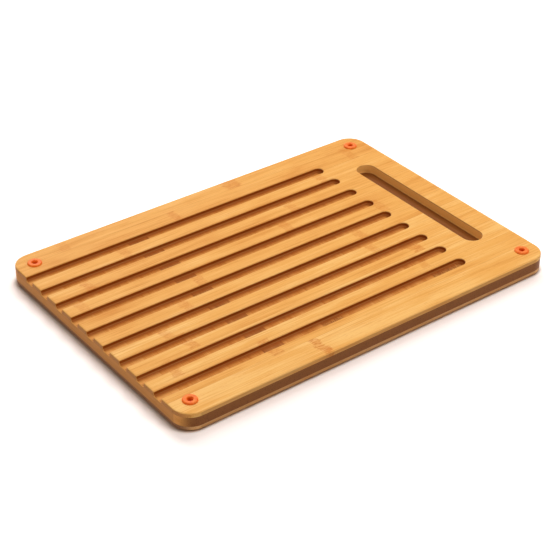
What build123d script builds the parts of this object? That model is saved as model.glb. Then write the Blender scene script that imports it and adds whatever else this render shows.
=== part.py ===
from build123d import *
import os

# Bread board of laminated bamboo, in millimetres: two face plies of strips laid lengthwise, a core ply
# of strips laid crosswise, crumb grooves open at the left end, a grip recess and four silicone feet.
# The origin is on the table under the board's centre. +X runs along the grooves to the grip end,
# +Y to the back long side, +Z up.

# Board outline
board_length = 400.0
board_width = 280.0
corner_radius = 17.5
edge_radius = 1.2

# Plies and their strips
face_ply = 4.0
core_ply = 9.0
face_strip_width = 24.0
core_strip_count = 19

# Crumb grooves, cut through the top ply into the core
groove_count = 9
groove_side_margin = 38.0
groove_width = 11.0
groove_depth = 4.5
groove_stop = 70.0
groove_floor_radius = 2.25
groove_rim_ease = 0.4
groove_mouth_radius = 1.0

# Grip recess across the board
grip_length = 170.0
grip_width = 20.0
grip_depth = 9.0
grip_inset = 35.0
grip_rim_radius = 1.0
grip_floor_radius = 1.5

# Feet: one silicone grommet through each corner, with a ring on both faces
foot_seam_offset = 6.5
foot_radius = 6.6
foot_height = 1.5
foot_round = 1.3
foot_sleeve_radius = 4.5
foot_bore_radius = 2.5
foot_lip_radius = 1.0
foot_sleeve_clearance = 0.1

# Heights above the table
underside = foot_height
core_bottom = underside + face_ply
core_top = core_bottom + core_ply
top_face = core_top + face_ply
board_thickness = top_face - underside

# Places in plan
left_end = -board_length / 2
right_end = board_length / 2
front_side = -board_width / 2
back_side = board_width / 2
core_strip_width = board_length / core_strip_count
face_strip_count = round(board_width / face_strip_width)
groove_tip = right_end - groove_stop
groove_start = left_end - groove_width
half_groove = groove_width / 2
groove_run = groove_tip - groove_start
groove_middle = (groove_tip + groove_start) / 2
groove_pitch = (board_width - 2 * groove_side_margin) / (groove_count - 1)
first_groove = front_side + groove_side_margin
groove_places = [(groove_middle, first_groove + step * groove_pitch) for step in range(groove_count)]
grip_middle = right_end - grip_inset
grip_floor = top_face - grip_depth
foot_inset = face_strip_width - foot_seam_offset
foot_spacing_x = board_length - 2 * foot_inset
foot_spacing_y = board_width - 2 * foot_inset

os.makedirs("parts", exist_ok=True)


def save(builder, name):
    """Label a finished piece and write its STEP file."""
    builder.part.label = name
    export_step(builder.part, f"parts/{name}.step")


# What the grooves take away: slots with rounded floor corners
with BuildPart() as groove_cutter:
    with BuildSketch(Plane.XY.offset(top_face)):
        with Locations(*groove_places):
            SlotOverall(groove_run, groove_width)
    extrude(amount=-groove_depth)
    fillet(groove_cutter.edges().group_by(Axis.Z)[0], groove_floor_radius)

# What rounds a groove's mouth: a quarter round led down one wall, along the floor and up the other wall.
# It is drawn about the middle of the mouth, level with the top face.
with BuildPart() as lip_cutter:
    with BuildLine(Plane.YZ) as mouth_edge:
        Polyline(
            (-half_groove, 0),
            (-half_groove, -groove_depth),
            (half_groove, -groove_depth),
            (half_groove, 0),
        )
        fillet(mouth_edge.vertices().group_by(Axis.Z)[0], groove_floor_radius)
    with BuildSketch(Plane(origin=(0, -half_groove, 0), x_dir=(1, 0, 0), z_dir=(0, 0, -1))):
        with BuildLine():
            Polyline(
                (0, groove_mouth_radius),
                (-groove_mouth_radius, groove_mouth_radius),
                (-groove_mouth_radius, -groove_mouth_radius),
                (groove_mouth_radius, -groove_mouth_radius),
                (groove_mouth_radius, 0),
            )
            round_middle = (groove_mouth_radius, groove_mouth_radius)
            CenterArc(round_middle, groove_mouth_radius, start_angle=180, arc_size=90)
        make_face()
    sweep(path=mouth_edge.wires()[0])

# The glued and machined laminate as one blank, from which each strip is taken
with BuildPart() as blank:
    with BuildSketch(Plane.XY.offset(underside)):
        RectangleRounded(board_length, board_width, corner_radius)
    extrude(amount=board_thickness)
    fillet(blank.faces().sort_by(Axis.Z)[-1].edges(), edge_radius)
    fillet(blank.faces().sort_by(Axis.Z)[0].edges(), edge_radius)

    # Grip recess with an eased rim and a rounded floor corner
    with BuildSketch(Plane.XY.offset(top_face)):
        with Locations((grip_middle, 0)):
            SlotOverall(grip_length, grip_width, rotation=90)
    extrude(amount=-grip_depth, mode=Mode.SUBTRACT)
    fillet(blank.faces().sort_by(Axis.Z)[-1].inner_wires()[0].edges(), grip_rim_radius)
    fillet(blank.faces().filter_by_position(Axis.Z, grip_floor, grip_floor).edges(), grip_floor_radius)

    # Crumb grooves, round at the grip end and open at the left end
    add(groove_cutter.part, mode=Mode.SUBTRACT)

    # Eased rims of the grooves
    for groove_place in groove_places:
        with BuildSketch(Plane.XY.offset(top_face)):
            with Locations(groove_place):
                SlotOverall(groove_run + 2 * groove_rim_ease, groove_width + 2 * groove_rim_ease)
        with BuildSketch(Plane.XY.offset(top_face - groove_rim_ease)):
            with Locations(groove_place):
                SlotOverall(groove_run, groove_width)
        loft(ruled=True, mode=Mode.SUBTRACT)

    # Rounded lip where each groove runs out of the left end
    with Locations(*[(left_end, groove_y, top_face) for _, groove_y in groove_places]):
        add(lip_cutter.part, mode=Mode.SUBTRACT)

    # Holes for the feet
    with Locations(Plane.XY.offset(top_face)):
        with GridLocations(foot_spacing_x, foot_spacing_y, 2, 2):
            Hole(foot_sleeve_radius + foot_sleeve_clearance)


def face_strip_band(number):
    """Middle and width of a face strip, counted from 0 at the front. The last one reaches the back side."""
    front_edge = front_side + number * face_strip_width
    back_edge = back_side if number == face_strip_count - 1 else front_edge + face_strip_width
    return (front_edge + back_edge) / 2, back_edge - front_edge


# Top ply: strips along the board. The recess cuts those that it crosses into a long and a short piece.
for number in range(face_strip_count):
    strip_middle, strip_width = face_strip_band(number)
    with BuildPart() as routed_strip:
        with BuildSketch(Plane.XY.offset(core_top)):
            with Locations((0, strip_middle)):
                Rectangle(board_length, strip_width)
        extrude(amount=face_ply)
        add(blank.part, mode=Mode.INTERSECT)
    lengths = routed_strip.part.solids().sort_by(Axis.X)
    for length, ending in zip(lengths, ("", "_grip_end")):
        with BuildPart() as top_strip:
            add(length)
        save(top_strip, f"top_strip_{number + 1:02d}{ending}")

# Core ply: strips across the board
for number in range(core_strip_count):
    with BuildPart() as core_strip:
        with BuildSketch(Plane.XY.offset(core_bottom)):
            with Locations((left_end + (number + 0.5) * core_strip_width, 0)):
                Rectangle(core_strip_width, board_width)
        extrude(amount=core_ply)
        add(blank.part, mode=Mode.INTERSECT)
    save(core_strip, f"core_strip_{number + 1:02d}")

# Bottom ply: strips along the board
for number in range(face_strip_count):
    strip_middle, strip_width = face_strip_band(number)
    with BuildPart() as bottom_strip:
        with BuildSketch(Plane.XY.offset(underside)):
            with Locations((0, strip_middle)):
                Rectangle(board_length, strip_width)
        extrude(amount=face_ply)
        add(blank.part, mode=Mode.INTERSECT)
    save(bottom_strip, f"bottom_strip_{number + 1:02d}")

# Feet: a ring on each face and a sleeve between them, round a bore
for side_y, row in ((-1, "front"), (1, "back")):
    for side_x, end in ((-1, "left"), (1, "right")):
        foot_x = side_x * foot_spacing_x / 2
        foot_y = side_y * foot_spacing_y / 2
        foot_plane = Plane(origin=(foot_x, foot_y, 0), x_dir=(1, 0, 0), z_dir=(0, -1, 0))
        with BuildPart() as foot:
            with BuildSketch(foot_plane) as section:
                with BuildLine():
                    Polyline(
                        (foot_bore_radius, 0),
                        (foot_radius, 0),
                        (foot_radius, underside),
                        (foot_sleeve_radius, underside),
                        (foot_sleeve_radius, top_face),
                        (foot_radius, top_face),
                        (foot_radius, top_face + foot_height),
                        (foot_bore_radius, top_face + foot_height),
                        close=True,
                    )
                make_face()
                ends = section.vertices().group_by(Axis.Y)[0] + section.vertices().group_by(Axis.Y)[-1]
                fillet(ends.group_by(Axis.X)[-1], foot_round)
                ends = section.vertices().group_by(Axis.Y)[0] + section.vertices().group_by(Axis.Y)[-1]
                fillet(ends.group_by(Axis.X)[0], foot_lip_radius)
            revolve(axis=Axis((foot_x, foot_y, 0), (0, 0, 1)))
        save(foot, f"foot_{row}_{end}")
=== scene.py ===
import math

import bpy
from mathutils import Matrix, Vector


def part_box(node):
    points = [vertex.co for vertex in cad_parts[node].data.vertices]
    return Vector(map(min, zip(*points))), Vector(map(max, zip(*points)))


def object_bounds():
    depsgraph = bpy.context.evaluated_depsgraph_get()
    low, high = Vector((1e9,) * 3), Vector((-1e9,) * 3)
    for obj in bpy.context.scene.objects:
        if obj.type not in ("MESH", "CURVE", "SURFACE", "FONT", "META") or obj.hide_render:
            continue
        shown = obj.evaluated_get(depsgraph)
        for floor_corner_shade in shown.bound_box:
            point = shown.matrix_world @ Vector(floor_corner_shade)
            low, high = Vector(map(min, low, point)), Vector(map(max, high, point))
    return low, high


# Bread board of laminated bamboo on a white table. The CAD nodes keep their meshes; this script gives them
# their materials, and adds the floor, the lights and the camera. The frame is in metres.

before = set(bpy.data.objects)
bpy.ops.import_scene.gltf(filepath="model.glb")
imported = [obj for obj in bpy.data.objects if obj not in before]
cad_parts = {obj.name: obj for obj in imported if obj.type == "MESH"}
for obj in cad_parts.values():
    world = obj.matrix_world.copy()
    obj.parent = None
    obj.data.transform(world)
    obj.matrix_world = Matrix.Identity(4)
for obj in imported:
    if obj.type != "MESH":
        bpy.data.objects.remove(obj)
bpy.context.view_layer.update()
cad_low, cad_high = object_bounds()
top_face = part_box("top_strip_01")[1].z

MM = 1000.0

# Camera, solved from the board's edges in the photograph: metres and degrees
CAMERA_PLACE = (-0.6988, -0.9072, 0.7596)
CAMERA_TILT = 56.31
CAMERA_ROLL = -0.42
CAMERA_HEADING = -37.21
CAMERA_LENS_MM = 98.16
SENSOR_MM = 36.0

# Studio lights: azimuth from +X towards +Y and elevation in degrees, width in metres, power in watts
LIGHTS = {
    "key": (38.0, 55.0, 1.8, 33.0),
    "back": (74.0, 34.0, 1.6, 36.0),
    "right": (304.0, 34.0, 1.6, 24.0),
    "top": (270.0, 74.0, 1.8, 24.0),
    "left": (182.0, 24.0, 1.6, 17.5),
}
LIGHT_DISTANCE = 3.0
WORLD_LIGHT = 0.04
WORLD_SEEN = 1.0
WHITE = (1.0, 1.0, 1.0, 1.0)

# Floor, in metres. It lights the board with its own tone. The camera sees a brighter one that reads as
# white, and a dark warm one under and beside the board, a painted contact shadow. Each fade is the step from
# that painted shadow to the bright one, measured outwards from the board's outline.
FLOOR_HALF = 1.4
FLOOR_ROUGHNESS = 0.9
FLOOR_TONE = (0.86, 0.86, 0.86, 1.0)
FLOOR_SEEN_TONE = (1.46, 1.34, 1.28, 1.0)
CONTACT_SHADOW_TONE = (0.5, 0.28, 0.12, 1.0)
SIDE_FADE = (-0.0032, 0.0018)
END_FADE = (-0.005, 0.007)
BOARD_CORNER = 0.0175


def srgb(red, green, blue):
    """Linear colour from the 0 to 255 values that a picture shows."""
    shares = (value / 255.0 for value in (red, green, blue))
    return (*(s / 12.92 if s <= 0.04045 else ((s + 0.055) / 1.055) ** 2.4 for s in shares), 1.0)


# Colours of the strips by ply, each from dark to light: along the fibres and on an end
TOP_TONES = (srgb(224, 146, 60), srgb(242, 174, 86), srgb(252, 196, 114))
TOP_END_TONES = (srgb(150, 86, 38), srgb(200, 130, 68))
CORE_TONES = (srgb(196, 112, 38), srgb(220, 140, 60), srgb(236, 162, 82))
DARK_CORE_TONES = (srgb(146, 78, 26), srgb(176, 102, 40), srgb(202, 126, 56))
CORE_END_TONES = (srgb(94, 48, 18), srgb(138, 82, 36))
BOTTOM_TONES = (srgb(228, 163, 94), srgb(246, 189, 126), srgb(253, 207, 153))
# The bottom ply's end tones are darker than the top ply's: painted shade low on the ends
BOTTOM_END_TONES = (srgb(114, 72, 46), srgb(152, 102, 70))

# Colours of the marks that lie over them
BUNDLE_TONE = srgb(210, 126, 46)
KNUCKLE_TONE = srgb(208, 110, 22)
DARK_KNUCKLE_TONE = srgb(112, 52, 14)
SEAM_TONE = srgb(176, 106, 46)
# Upper rounded edges: lighter partly from wear, partly as painted highlight
EDGE_WEAR_AND_HIGHLIGHT_TONE = srgb(248, 192, 114)
# Painted reflection of the pale floor: a greyish veil on the steep side faces
SIDE_REFLECTION_TONE = srgb(150, 104, 76)
# Painted shade on the board's lower rounded edge
LOW_EDGE_SHADE_TONE = srgb(58, 28, 10)
# Painted shade on the groove floors, towards their walls and round ends
CORNER_SHADE_TONE = srgb(162, 78, 18)
# Painted shade on the groove walls
WALL_SHADE_TONE = srgb(144, 68, 8)
# Painted shade on the recess floor
RECESS_FLOOR_SHADE_TONE = srgb(98, 48, 10)
# Painted light on the recess's wall
RECESS_WALL_LIGHT_TONE = srgb(255, 198, 112)

# How much of the colour each mark takes where it is full. The edge mask never gets past a quarter.
BUNDLE_SHARE = 0.38
END_BUNDLE_SHARE = 0.8
FLECK_SHARE = 0.4
SEAM_SHARE = 0.4
EDGE_WEAR_AND_HIGHLIGHT_SHARE = 1.2
SIDE_REFLECTION_SHARE = 0.15
LOW_EDGE_SHADE_SHARE = 0.95
CORNER_SHADE_SHARE = 0.95
WALL_SHADE_SHARE = 0.95
RECESS_FLOOR_SHADE_SHARE = 0.8
RECESS_WALL_LIGHT_SHARE = 0.95

# Routed places in mm: the grooves' middle lines from the front side, their pitch and half width, and the
# middles of their round ends and of the recess from the left end
GROOVE_FIRST = 38.0
GROOVE_PITCH = 25.5
GROOVE_HALF = 5.5
GROOVE_TURN = 324.5
RECESS_MIDDLE = 365.0

# Steps in mm, 0 at the first value and 1 at the second: in from the long sides and from the ends, down from
# the top face, towards the recess's middle, and towards a strip's own limits
SIDE_MARGIN = (14.0, 18.0)
END_MARGIN = (0.2, 0.9)
ROUTED_DEPTH = (0.6, 1.2)
RECESS_REACH = (10.7, 10.4)
SEAM_REACH = (0.16, 0.04)

# Steps by how far a normal points up or down: steep enough to show a ply seam, a side, a routed wall
SEAM_FACES = (0.9, 0.6)
SIDE_FACES = (0.6, 0.3)
WALL_FACES = (0.9, 0.3)

# Steps by how far a normal points up, less than nothing where it points down: faces that look up, routed
# floors, faces that look down, and all but the underside
UPPER_FACES = (0.0, 0.2)
FLOOR_FACES = (0.3, 0.8)
LOWER_FACES = (-0.05, -0.5)
OFF_UNDERSIDE = (-0.99, -0.9)

# Step by how far a normal points along the fibres
END_FACES = (0.35, 0.95)

# Grain sizes in mm: length along the fibres and width across them. The warp moves the fibres sideways.
FIBRE_SIZE = (60.0, 0.5)
BAND_SIZE = (170.0, 5.5)
PATCH_SIZE = (55.0, 13.0)
BUNDLE_SIZE = (60.0, 0.95)
FLECK_SIZE = (7.0, 0.38)
WARP_SIZE = (90.0, 28.0)
WARP_REACH = 1.8

# Parts of the grain: what fibres, bands and patches add to the tone, and where bundles and flecks begin
FIBRE_WEIGHT = 1.6
BAND_WEIGHT = 0.9
PATCH_WEIGHT = 1.0
TONE_OFFSET = 1.25
BUNDLE_STEP = (0.5, 0.2)
FLECK_STEP = (0.62, 0.74)
BUNDLE_HOLLOW = 0.35

# Knuckles: sizes, sway and line width in mm, the body's limits and the lines' place in half widths
KNUCKLE_SWAY_SIZE = (40.0, 6.0)
KNUCKLE_SWAY = 9.0
KNUCKLE_STREAK_SIZE = (4.0, 0.8)
KNUCKLE_RAGGEDNESS = 1.4
KNUCKLE_BODY = (1.1, 0.5)
KNUCKLE_BODY_STEP = (0.4, 0.6)
KNUCKLE_BODY_LEAST = 0.3
KNUCKLE_BODY_SHARE = 0.85
KNUCKLE_LINE_PLACE = 0.75
KNUCKLE_LINE_WIDTH = (1.9, 0.2)
KNUCKLE_LINE_STEP = (0.36, 0.64)

# Surface of the bamboo. A roughness is given at the darkest and at the lightest tone, a bump as strength and
# distance in metres.
BAMBOO_ROUGHNESS = (0.52, 0.4)
BAMBOO_BUMP = (0.25, 0.0001)
BAMBOO_SPECULAR = 0.08

# Silicone of the feet. Its two patterns have so many waves to the metre.
SILICONE_TONE = srgb(255, 134, 44)
SILICONE_DEEP_TONE = srgb(247, 108, 24)
SILICONE_CLOUD_WAVES = 350.0
SILICONE_PORE_WAVES = 2600.0
SILICONE_CLOUD_STEP = (0.35, 0.7)
SILICONE_ROUGHNESS = (0.4, 0.6)
SILICONE_BUMP = (0.2, 0.00008)
SILICONE_SPECULAR = 0.2
SILICONE_SUBSURFACE = 0.1
SILICONE_SUBSURFACE_RADIUS = (0.004, 0.0012, 0.0005)

# How light each strip is beside its ply's middle, from the front side or from the left end, and the core
# strip that has darker bamboo
TOP_STRIP_TONES = (0.2, 0.04, 0.2, 0.04, 0.12, 0.0, -0.08, -0.04, -0.12, 0.0, -0.12, -0.08)
BOTTOM_STRIP_TONES = (-0.14, 0.0, 0.14, -0.21, -0.07, 0.07, 0.21, -0.14, 0.0, 0.14, -0.21, -0.07)
CORE_STRIP_TONES = (
    0.5, 0.1, -0.05, 0.05, -0.1, 0.0, 0.1, -0.05, 0.05, -0.1,
    0.0, 0.1, -0.05, 0.05, -0.05, 0.1, 0.1, -0.05, 0.05,
)
DARK_STRIP = "core_strip_06"

# Knuckles by the strip's number: place from the left end and half width in mm, and strength
TOP_KNUCKLES = {
    1: ((145.0, 4.5, 0.8),),
    2: ((110.0, 6.0, 0.6),),
    3: ((29.0, 5.0, 0.5), (296.0, 4.0, 0.35)),
    4: ((60.0, 5.0, 0.5), (308.0, 6.5, 0.7)),
    5: ((277.0, 5.0, 0.5), (52.0, 5.0, 0.5)),
    6: ((282.0, 5.0, 0.5), (88.0, 5.0, 0.5)),
    7: ((120.0, 5.0, 0.5), (330.0, 5.0, 0.4)),
    8: ((16.0, 5.0, 0.4), (236.0, 5.0, 0.5)),
    9: ((37.0, 4.5, 0.6), (262.0, 5.0, 0.5)),
    10: ((92.0, 5.0, 0.4), (318.0, 5.0, 0.5)),
    11: ((163.0, 4.0, 0.6), (371.0, 5.0, 0.4)),
    12: ((240.0, 9.0, 0.6), (52.0, 5.0, 0.3)),
}

# The same on the underside, two to a strip: the first one's place, and the second one so much further on
BOTTOM_KNUCKLE_PLACES = (123.1, 58.2, 163.3, 98.4, 33.5, 138.6, 73.7, 178.8, 113.9, 49.0, 154.1, 89.2)
BOTTOM_KNUCKLE_SPACING = 205.0
BOTTOM_KNUCKLES = {
    number: ((place, 5.0, 0.45), (place + BOTTOM_KNUCKLE_SPACING, 5.0, 0.35))
    for number, place in enumerate(BOTTOM_KNUCKLE_PLACES, start=1)
}

# The same in the core, from the front side
CORE_KNUCKLES = {
    9: ((38.0, 8.0, 0.8),),
    15: ((38.0, 8.0, 0.85),),
    16: ((38.0, 8.0, 0.85),),
}

# The plies, by the first word of their strips' names. Seeds are a start and a step from strip to strip.
PLIES = {
    "top": {
        "lengthwise": True,
        "side_tones": TOP_TONES,
        "end_tones": TOP_END_TONES,
        "knuckle_tone": KNUCKLE_TONE,
        "strip_tones": TOP_STRIP_TONES,
        "knuckles": TOP_KNUCKLES,
        "seeds": (0.0, 3.7),
    },
    "core": {
        "lengthwise": False,
        "side_tones": CORE_TONES,
        "end_tones": CORE_END_TONES,
        "knuckle_tone": DARK_KNUCKLE_TONE,
        "strip_tones": CORE_STRIP_TONES,
        "knuckles": CORE_KNUCKLES,
        "seeds": (120.0, 2.9),
    },
    "bottom": {
        "lengthwise": True,
        "side_tones": BOTTOM_TONES,
        "end_tones": BOTTOM_END_TONES,
        "knuckle_tone": KNUCKLE_TONE,
        "strip_tones": BOTTOM_STRIP_TONES,
        "knuckles": BOTTOM_KNUCKLES,
        "seeds": (60.0, 3.1),
    },
}

# Sockets of a colour mix node, by number, because its names repeat
MIX_SHARE, MIX_FIRST, MIX_SECOND = 0, 6, 7
MIX_COLOUR = 2


def add_node(tree, kind, inputs=(), **settings):
    """Add a shader node; an input is a value or another node's output."""
    made = tree.nodes.new(kind)
    for name, value in settings.items():
        setattr(made, name, value)
    for name, value in dict(inputs).items():
        if isinstance(value, bpy.types.NodeSocket):
            tree.links.new(value, made.inputs[name])
        else:
            made.inputs[name].default_value = value
    return made


def maths(tree, operation, *values, clamp=False):
    """Output of one math node."""
    made = add_node(tree, "ShaderNodeMath", enumerate(values), operation=operation, use_clamp=clamp)
    return made.outputs[0]


def size_of(tree, value):
    """A value without its sign."""
    return maths(tree, "ABSOLUTE", value)


def square(tree, value):
    """A value times itself."""
    return maths(tree, "MULTIPLY", value, value)


def both(tree, *masks):
    """The share where all masks hold."""
    share = masks[0]
    for mask in masks[1:]:
        share = maths(tree, "MULTIPLY", share, mask)
    return share


def smooth(tree, value, start, end):
    """0 before start, 1 after end, with a soft step between. Start may be the larger."""
    inputs = {"Value": value, "From Min": start, "From Max": end}
    step = add_node(tree, "ShaderNodeMapRange", inputs, interpolation_type="SMOOTHSTEP")
    return step.outputs["Result"]


def between(tree, share, at_none, at_full):
    """The value that a share from 0 to 1 picks between two."""
    return maths(tree, "MULTIPLY_ADD", share, at_full - at_none, at_none)


def mix(tree, share, first, second):
    """Output of a colour mix."""
    inputs = {MIX_SHARE: share, MIX_FIRST: first, MIX_SECOND: second}
    made = add_node(tree, "ShaderNodeMix", inputs, data_type="RGBA", clamp_factor=True)
    return made.outputs[MIX_COLOUR]


def cover(tree, colour, tone, mask, share):
    """A colour with a tone laid over it where the mask holds."""
    return mix(tree, maths(tree, "MULTIPLY", mask, share), colour, tone)


def drawn_out(tree, place, size):
    """Pattern coordinates of a place (along, across, up) for a pattern of a size (length, width)."""
    along, across, up = place
    length, width = size
    parts = {
        "X": maths(tree, "DIVIDE", along, length),
        "Y": maths(tree, "DIVIDE", across, width),
        "Z": maths(tree, "DIVIDE", up, width),
    }
    return add_node(tree, "ShaderNodeCombineXYZ", parts).outputs[0]


def noise(tree, place, size, seed, detail=2.0, roughness=0.5):
    """Noise drawn out along the fibres."""
    spot = drawn_out(tree, place, size)
    inputs = {"Vector": spot, "W": seed, "Scale": 1.0, "Detail": detail, "Roughness": roughness}
    return add_node(tree, "ShaderNodeTexNoise", inputs, noise_dimensions="4D").outputs[0]


def new_group(name, inputs, outputs):
    """A shader group with float sockets: its tree, what it is given and its output node."""
    tree = bpy.data.node_groups.new(name, "ShaderNodeTree")
    for socket in inputs:
        tree.interface.new_socket(socket, in_out="INPUT", socket_type="NodeSocketFloat")
    for socket in outputs:
        tree.interface.new_socket(socket, in_out="OUTPUT", socket_type="NodeSocketFloat")
    given = tree.nodes.new("NodeGroupInput").outputs
    return tree, [given[socket] for socket in inputs], tree.nodes.new("NodeGroupOutput")


def add_group(tree, group, inputs):
    """Outputs of a shader group, by name."""
    return add_node(tree, "ShaderNodeGroup", inputs, node_tree=group).outputs


def make_grain_group():
    """Bamboo fibres as a solid texture: streaks on a side face, dots on an end face."""
    tree, (along, across, up, seed), result = new_group(
        "bamboo_grain", ("Along", "Across", "Up", "Seed"), ("Tone", "Bundle", "Fleck", "Height")
    )
    drift = maths(tree, "SUBTRACT", noise(tree, (along, across, up), WARP_SIZE, seed), 0.5)
    across = maths(tree, "MULTIPLY_ADD", drift, WARP_REACH, across)
    place = (along, across, up)

    fibre = noise(tree, place, FIBRE_SIZE, seed, detail=3.0, roughness=0.6)
    band = noise(tree, place, BAND_SIZE, seed)
    patch = noise(tree, place, PATCH_SIZE, seed)
    tone = maths(tree, "MULTIPLY", fibre, FIBRE_WEIGHT)
    tone = maths(tree, "MULTIPLY_ADD", band, BAND_WEIGHT, tone)
    tone = maths(tree, "MULTIPLY_ADD", patch, PATCH_WEIGHT, tone)
    tone = maths(tree, "SUBTRACT", tone, TONE_OFFSET, clamp=True)

    inputs = {"Vector": drawn_out(tree, place, BUNDLE_SIZE), "W": seed, "Scale": 1.0}
    cells = add_node(tree, "ShaderNodeTexVoronoi", inputs, voronoi_dimensions="4D")
    bundle = smooth(tree, cells.outputs["Distance"], *BUNDLE_STEP)
    fleck = smooth(tree, noise(tree, place, FLECK_SIZE, seed, detail=1.0), *FLECK_STEP)
    height = maths(tree, "SUBTRACT", fibre, maths(tree, "MULTIPLY", bundle, BUNDLE_HOLLOW))

    tree.links.new(tone, result.inputs["Tone"])
    tree.links.new(bundle, result.inputs["Bundle"])
    tree.links.new(fleck, result.inputs["Fleck"])
    tree.links.new(height, result.inputs["Height"])
    return tree


def make_knuckle_group():
    """The mark of a culm's joint across a strip: two wavering thin lines with ragged flecks between them."""
    tree, (along, across, up, seed, place, half), result = new_group(
        "bamboo_knuckle", ("Along", "Across", "Up", "Seed", "Place", "Half"), ("Mark",)
    )
    away = maths(tree, "SUBTRACT", along, place)
    sway = maths(tree, "SUBTRACT", noise(tree, (away, across, up), KNUCKLE_SWAY_SIZE, seed), 0.5)
    away = maths(tree, "MULTIPLY_ADD", sway, KNUCKLE_SWAY, away)
    streak = noise(tree, (away, across, up), KNUCKLE_STREAK_SIZE, seed, roughness=0.6)
    distance = size_of(tree, away)

    reach = maths(tree, "DIVIDE", distance, half)
    uneven = maths(tree, "SUBTRACT", streak, 0.5)
    ragged = maths(tree, "MULTIPLY_ADD", uneven, -KNUCKLE_RAGGEDNESS, reach)
    grit = between(tree, smooth(tree, streak, *KNUCKLE_BODY_STEP), KNUCKLE_BODY_LEAST, 1.0)
    body = both(tree, smooth(tree, ragged, *KNUCKLE_BODY), grit)
    body = maths(tree, "MULTIPLY", body, KNUCKLE_BODY_SHARE)

    from_line = size_of(tree, maths(tree, "MULTIPLY_ADD", half, -KNUCKLE_LINE_PLACE, distance))
    line = smooth(tree, from_line, *KNUCKLE_LINE_WIDTH)
    line = both(tree, line, smooth(tree, streak, *KNUCKLE_LINE_STEP))
    tree.links.new(maths(tree, "MAXIMUM", body, line), result.inputs["Mark"])
    return tree


grain_group = make_grain_group()
knuckle_group = make_knuckle_group()


def new_material(name):
    """An empty node material, its tree and its shader."""
    material = bpy.data.materials.new(name)
    material.use_nodes = True
    tree = material.node_tree
    tree.nodes.clear()
    shader = tree.nodes.new("ShaderNodeBsdfPrincipled")
    output = tree.nodes.new("ShaderNodeOutputMaterial")
    tree.links.new(shader.outputs["BSDF"], output.inputs["Surface"])
    return material, tree, shader


def object_place(tree):
    """The x, y and z of a point, in metres."""
    spot = add_node(tree, "ShaderNodeTexCoord").outputs["Object"]
    return add_node(tree, "ShaderNodeSeparateXYZ", {"Vector": spot}).outputs


def in_mm(tree, start, end):
    """The way from start to end along one axis, in mm; both are in metres."""
    return maths(tree, "MULTIPLY", maths(tree, "SUBTRACT", end, start), MM)


def inward(tree, place, size):
    """How far in a place is from the nearer of two sides. Place in mm from one side, size in metres."""
    half = size / 2 * MM
    return maths(tree, "SUBTRACT", half, size_of(tree, maths(tree, "SUBTRACT", place, half)))


def add_bump(tree, shader, height, strength, distance):
    """Fine relief from a height that goes from 0 to 1."""
    inputs = {"Strength": strength, "Distance": distance, "Height": height}
    bump = add_node(tree, "ShaderNodeBump", inputs)
    tree.links.new(bump.outputs["Normal"], shader.inputs["Normal"])


def lay_grain(tree, grain, strip_tone, side_tones, end_tones, run_normal):
    """A strip's own colour: fibres, bundles and flecks along it, cut bundles on its ends."""
    # From dark to middle over the tone's lower half, and on to light over its upper half
    dark, middle, light = side_tones
    tone = maths(tree, "ADD", grain["Tone"], strip_tone, clamp=True)
    colour = mix(tree, smooth(tree, tone, 0.0, 0.5), dark, middle)
    colour = mix(tree, smooth(tree, tone, 0.5, 1.0), colour, light)
    colour = cover(tree, colour, BUNDLE_TONE, grain["Bundle"], BUNDLE_SHARE)
    colour = cover(tree, colour, KNUCKLE_TONE, grain["Fleck"], FLECK_SHARE)

    end_dark, end_light = end_tones
    end = cover(tree, end_light, end_dark, grain["Bundle"], END_BUNDLE_SHARE)
    return mix(tree, smooth(tree, size_of(tree, run_normal), *END_FACES), colour, end)


def lay_edges(tree, colour, to_strip_seam, to_ply_seam, nz):
    """Glue seams, upper edges lighter partly from wear and partly as painted highlight, a painted reflection
    on the sides and painted shade on the lower edge. Distances to seams are in mm.
    """
    upness = size_of(tree, nz)
    strip_seam = smooth(tree, to_strip_seam, *SEAM_REACH)
    ply_seam = both(tree, smooth(tree, to_ply_seam, *SEAM_REACH), smooth(tree, upness, *SEAM_FACES))
    colour = cover(tree, colour, SEAM_TONE, maths(tree, "MAXIMUM", strip_seam, ply_seam), SEAM_SHARE)

    # Upper rounded edges lighter where they face halfway up: partly wear, partly painted highlight
    level = square(tree, nz)
    edge_wear_and_highlight = both(tree, level, maths(tree, "SUBTRACT", 1.0, level), smooth(tree, nz, *UPPER_FACES))
    colour = cover(tree, colour, EDGE_WEAR_AND_HIGHLIGHT_TONE, edge_wear_and_highlight, EDGE_WEAR_AND_HIGHLIGHT_SHARE)
    # Painted reflection: steep side faces take in a greyish veil
    colour = cover(tree, colour, SIDE_REFLECTION_TONE, smooth(tree, upness, *SIDE_FACES), SIDE_REFLECTION_SHARE)

    # Painted shade: the lower rounded edge darkened where it faces down, short of the underside
    low_edge_shade = both(tree, smooth(tree, nz, *LOWER_FACES), smooth(tree, nz, *OFF_UNDERSIDE))
    return cover(tree, colour, LOW_EDGE_SHADE_TONE, low_edge_shade, LOW_EDGE_SHADE_SHARE)


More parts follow.
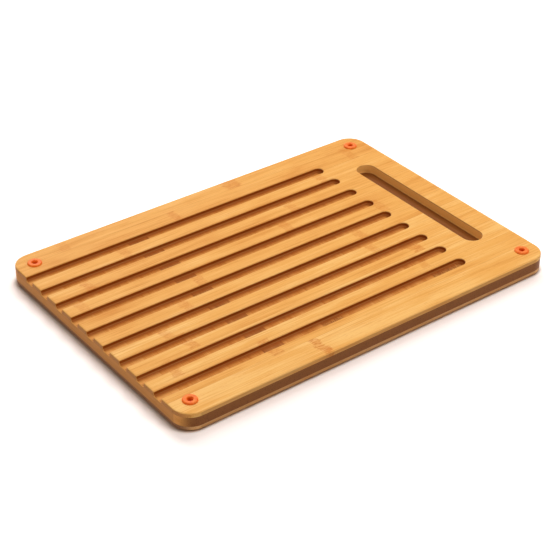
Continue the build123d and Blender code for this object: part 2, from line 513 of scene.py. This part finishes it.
def lay_routed_shading(tree, colour, from_left, from_front, depth, nz):
    """Painted light and shade in the routed places: painted shade on the groove walls, the groove floor
    corners and the recess floor, and painted light on the recess's wall.
    """
    inside = both(
        tree,
        smooth(tree, inward(tree, from_front, cad_high.y - cad_low.y), *SIDE_MARGIN),
        smooth(tree, inward(tree, from_left, cad_high.x - cad_low.x), *END_MARGIN),
        smooth(tree, depth, *ROUTED_DEPTH),
    )
    from_recess = size_of(tree, maths(tree, "SUBTRACT", from_left, RECESS_MIDDLE))
    in_recess = both(tree, inside, smooth(tree, from_recess, *RECESS_REACH))
    in_groove = both(tree, inside, maths(tree, "SUBTRACT", 1.0, in_recess))
    floor_face = smooth(tree, nz, *FLOOR_FACES)
    wall_face = smooth(tree, size_of(tree, nz), *WALL_FACES)

    # Painted shade: a groove's floor is darkest at its walls and at its round end, by the distance from its
    # middle line
    from_first = maths(tree, "SUBTRACT", from_front, GROOVE_FIRST)
    from_row = maths(tree, "PINGPONG", from_first, GROOVE_PITCH / 2)
    past_turn = maths(tree, "MAXIMUM", maths(tree, "SUBTRACT", from_left, GROOVE_TURN), 0.0)
    off_middle = maths(tree, "ADD", square(tree, from_row), square(tree, past_turn))
    off_middle = maths(tree, "SQRT", off_middle)
    floor_corner_shade = both(tree, in_groove, floor_face, smooth(tree, off_middle, 0.0, GROOVE_HALF))

    colour = cover(tree, colour, CORNER_SHADE_TONE, floor_corner_shade, CORNER_SHADE_SHARE)
    # Painted shade: the groove walls darker
    colour = cover(tree, colour, WALL_SHADE_TONE, both(tree, in_groove, wall_face), WALL_SHADE_SHARE)
    # Painted shade: the recess floor darker
    recess_floor_shade = both(tree, in_recess, floor_face)
    colour = cover(tree, colour, RECESS_FLOOR_SHADE_TONE, recess_floor_shade, RECESS_FLOOR_SHADE_SHARE)
    # Painted light: the recess's wall lighter
    recess_wall_light = both(tree, in_recess, wall_face)
    return cover(tree, colour, RECESS_WALL_LIGHT_TONE, recess_wall_light, RECESS_WALL_LIGHT_SHARE)


def bamboo(node, ply, number):
    """Bamboo for one strip of a ply, whose grain runs along the strip."""
    material, tree, shader = new_material(node)
    low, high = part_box(node)
    middle = (low + high) / 2
    half = (high - low) / 2 * MM
    x, y, z = object_place(tree)
    normal = add_node(tree, "ShaderNodeNewGeometry").outputs["Normal"]
    nx, ny, nz = add_node(tree, "ShaderNodeSeparateXYZ", {"Vector": normal}).outputs
    from_left = in_mm(tree, cad_low.x, x)
    from_front = in_mm(tree, cad_low.y, y)
    if ply["lengthwise"]:
        along, run_normal, half_across = from_left, nx, half.y
        across = in_mm(tree, middle.y, y)
    else:
        along, run_normal, half_across = from_front, ny, half.x
        across = in_mm(tree, middle.x, x)
    up = in_mm(tree, middle.z, z)

    seed_start, seed_step = ply["seeds"]
    inputs = {"Along": along, "Across": across, "Up": up, "Seed": seed_start + number * seed_step}
    grain = add_group(tree, grain_group, inputs)
    side_tones = DARK_CORE_TONES if node == DARK_STRIP else ply["side_tones"]
    strip_tone = ply["strip_tones"][number - 1]
    colour = lay_grain(tree, grain, strip_tone, side_tones, ply["end_tones"], run_normal)
    for place, half_width, strength in ply["knuckles"].get(number, ()):
        knuckle = add_group(tree, knuckle_group, {**inputs, "Place": place, "Half": half_width})
        colour = cover(tree, colour, ply["knuckle_tone"], knuckle["Mark"], strength)

    to_strip_seam = maths(tree, "SUBTRACT", half_across, size_of(tree, across))
    to_ply_seam = maths(tree, "SUBTRACT", half.z, size_of(tree, up))
    colour = lay_edges(tree, colour, to_strip_seam, to_ply_seam, nz)
    colour = lay_routed_shading(tree, colour, from_left, from_front, in_mm(tree, z, top_face), nz)

    tree.links.new(colour, shader.inputs["Base Color"])
    tree.links.new(between(tree, grain["Tone"], *BAMBOO_ROUGHNESS), shader.inputs["Roughness"])
    add_bump(tree, shader, grain["Height"], *BAMBOO_BUMP)
    shader.inputs["Specular IOR Level"].default_value = BAMBOO_SPECULAR
    return material


def silicone(name):
    """Satin orange silicone, a little cloudy and finely pored."""
    material, tree, shader = new_material(name)
    spot = add_node(tree, "ShaderNodeTexCoord").outputs["Object"]
    inputs = {"Vector": spot, "Scale": SILICONE_CLOUD_WAVES, "Detail": 3.0}
    cloud = add_node(tree, "ShaderNodeTexNoise", inputs).outputs[0]
    inputs = {"Vector": spot, "Scale": SILICONE_PORE_WAVES, "Detail": 2.0}
    pores = add_node(tree, "ShaderNodeTexNoise", inputs).outputs[0]
    pale = smooth(tree, cloud, *SILICONE_CLOUD_STEP)
    colour = mix(tree, pale, SILICONE_DEEP_TONE, SILICONE_TONE)
    tree.links.new(colour, shader.inputs["Base Color"])
    tree.links.new(between(tree, cloud, *SILICONE_ROUGHNESS), shader.inputs["Roughness"])
    add_bump(tree, shader, pores, *SILICONE_BUMP)
    shader.inputs["Specular IOR Level"].default_value = SILICONE_SPECULAR
    shader.inputs["Subsurface Weight"].default_value = SILICONE_SUBSURFACE
    shader.inputs["Subsurface Radius"].default_value = SILICONE_SUBSURFACE_RADIUS
    shader.inputs["Subsurface Scale"].default_value = 1.0
    return material


def node_material(node):
    """The material of a CAD node, by its name: a strip's bamboo or a foot's silicone."""
    kind, *rest = node.split("_")
    if kind in PLIES:
        return bamboo(node, PLIES[kind], int(rest[1]))
    return silicone(node)


def seen_rays(tree):
    """1 for a ray that shows what it meets, straight or by gloss or glass; 0 for one that lights others."""
    rays = add_node(tree, "ShaderNodeLightPath").outputs
    reflected = maths(tree, "MAXIMUM", rays["Is Glossy Ray"], rays["Is Transmission Ray"])
    return maths(tree, "MAXIMUM", rays["Is Camera Ray"], reflected)


def clear_of_board(tree):
    """0 on the floor under the board and 1 away from it, by the distance from its rounded outline: where the
    painted contact shadow gives way to the bright floor.
    """
    x, y, _ = object_place(tree)
    past_end = maths(tree, "SUBTRACT", size_of(tree, x), cad_high.x - BOARD_CORNER)
    past_side = maths(tree, "SUBTRACT", size_of(tree, y), cad_high.y - BOARD_CORNER)
    past_end = square(tree, maths(tree, "MAXIMUM", past_end, 0.0))
    past_side = square(tree, maths(tree, "MAXIMUM", past_side, 0.0))
    past_both = maths(tree, "ADD", past_end, past_side)
    away = maths(tree, "SUBTRACT", maths(tree, "SQRT", past_both), BOARD_CORNER)

    # From 0 beside a long side to 1 beside an end
    endwise = maths(tree, "DIVIDE", past_end, past_both)
    limits = (between(tree, endwise, side, end) for side, end in zip(SIDE_FADE, END_FADE))
    return smooth(tree, away, *limits)


def make_floor():
    """Pale plain floor that keeps the board's shadow and reads as white, with a painted contact shadow under
    and beside the board.
    """
    mesh = bpy.data.meshes.new("floor")
    corners = [(x * FLOOR_HALF, y * FLOOR_HALF, 0.0) for x, y in ((-1, -1), (1, -1), (1, 1), (-1, 1))]
    mesh.from_pydata(corners, [], [(0, 1, 2, 3)])
    floor = bpy.data.objects.new("floor", mesh)
    bpy.context.scene.collection.objects.link(floor)
    material, tree, shader = new_material("floor")
    # Painted contact shadow: the camera sees a dark warm tone under the board, fading to the bright one
    # beside it
    shown = mix(tree, clear_of_board(tree), CONTACT_SHADOW_TONE, FLOOR_SEEN_TONE)
    tree.links.new(mix(tree, seen_rays(tree), FLOOR_TONE, shown), shader.inputs["Base Color"])
    shader.inputs["Roughness"].default_value = FLOOR_ROUGHNESS
    shader.inputs["Specular IOR Level"].default_value = 0.0
    mesh.materials.append(material)


def add_light(name, azimuth, elevation, width, power):
    """A round soft light that faces the board's middle."""
    light = bpy.data.lights.new(name, "AREA")
    light.shape = "DISK"
    light.size = width
    light.energy = power
    holder = bpy.data.objects.new(name, light)
    bpy.context.scene.collection.objects.link(holder)
    turn, rise = math.radians(azimuth), math.radians(elevation)
    aim = Vector((math.cos(turn) * math.cos(rise), math.sin(turn) * math.cos(rise), math.sin(rise)))
    holder.location = aim * LIGHT_DISTANCE
    holder.rotation_euler = aim.to_track_quat("Z", "Y").to_euler()


def make_world():
    """Faint even light all round, seen as white."""
    world = bpy.data.worlds.new("surround")
    world.use_nodes = True
    tree = world.node_tree
    tree.nodes.clear()
    strength = between(tree, seen_rays(tree), WORLD_LIGHT, WORLD_SEEN)
    sky = add_node(tree, "ShaderNodeBackground", {"Color": WHITE, "Strength": strength})
    output = tree.nodes.new("ShaderNodeOutputWorld")
    tree.links.new(sky.outputs[0], output.inputs["Surface"])
    bpy.context.scene.world = world


def make_camera():
    """Camera at the photograph's place and angle."""
    lens = bpy.data.cameras.new("camera")
    lens.lens = CAMERA_LENS_MM
    lens.sensor_width = SENSOR_MM
    camera = bpy.data.objects.new("camera", lens)
    bpy.context.scene.collection.objects.link(camera)
    camera.location = CAMERA_PLACE
    camera.rotation_euler = [math.radians(angle) for angle in (CAMERA_TILT, CAMERA_ROLL, CAMERA_HEADING)]
    bpy.context.scene.camera = camera


for node in sorted(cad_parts):
    material = node_material(node)
    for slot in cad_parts[node].material_slots:
        slot.material = material

make_floor()
for light_name, settings in LIGHTS.items():
    add_light(light_name, *settings)
make_world()
make_camera()
bpy.context.scene.view_settings.view_transform = "Standard"
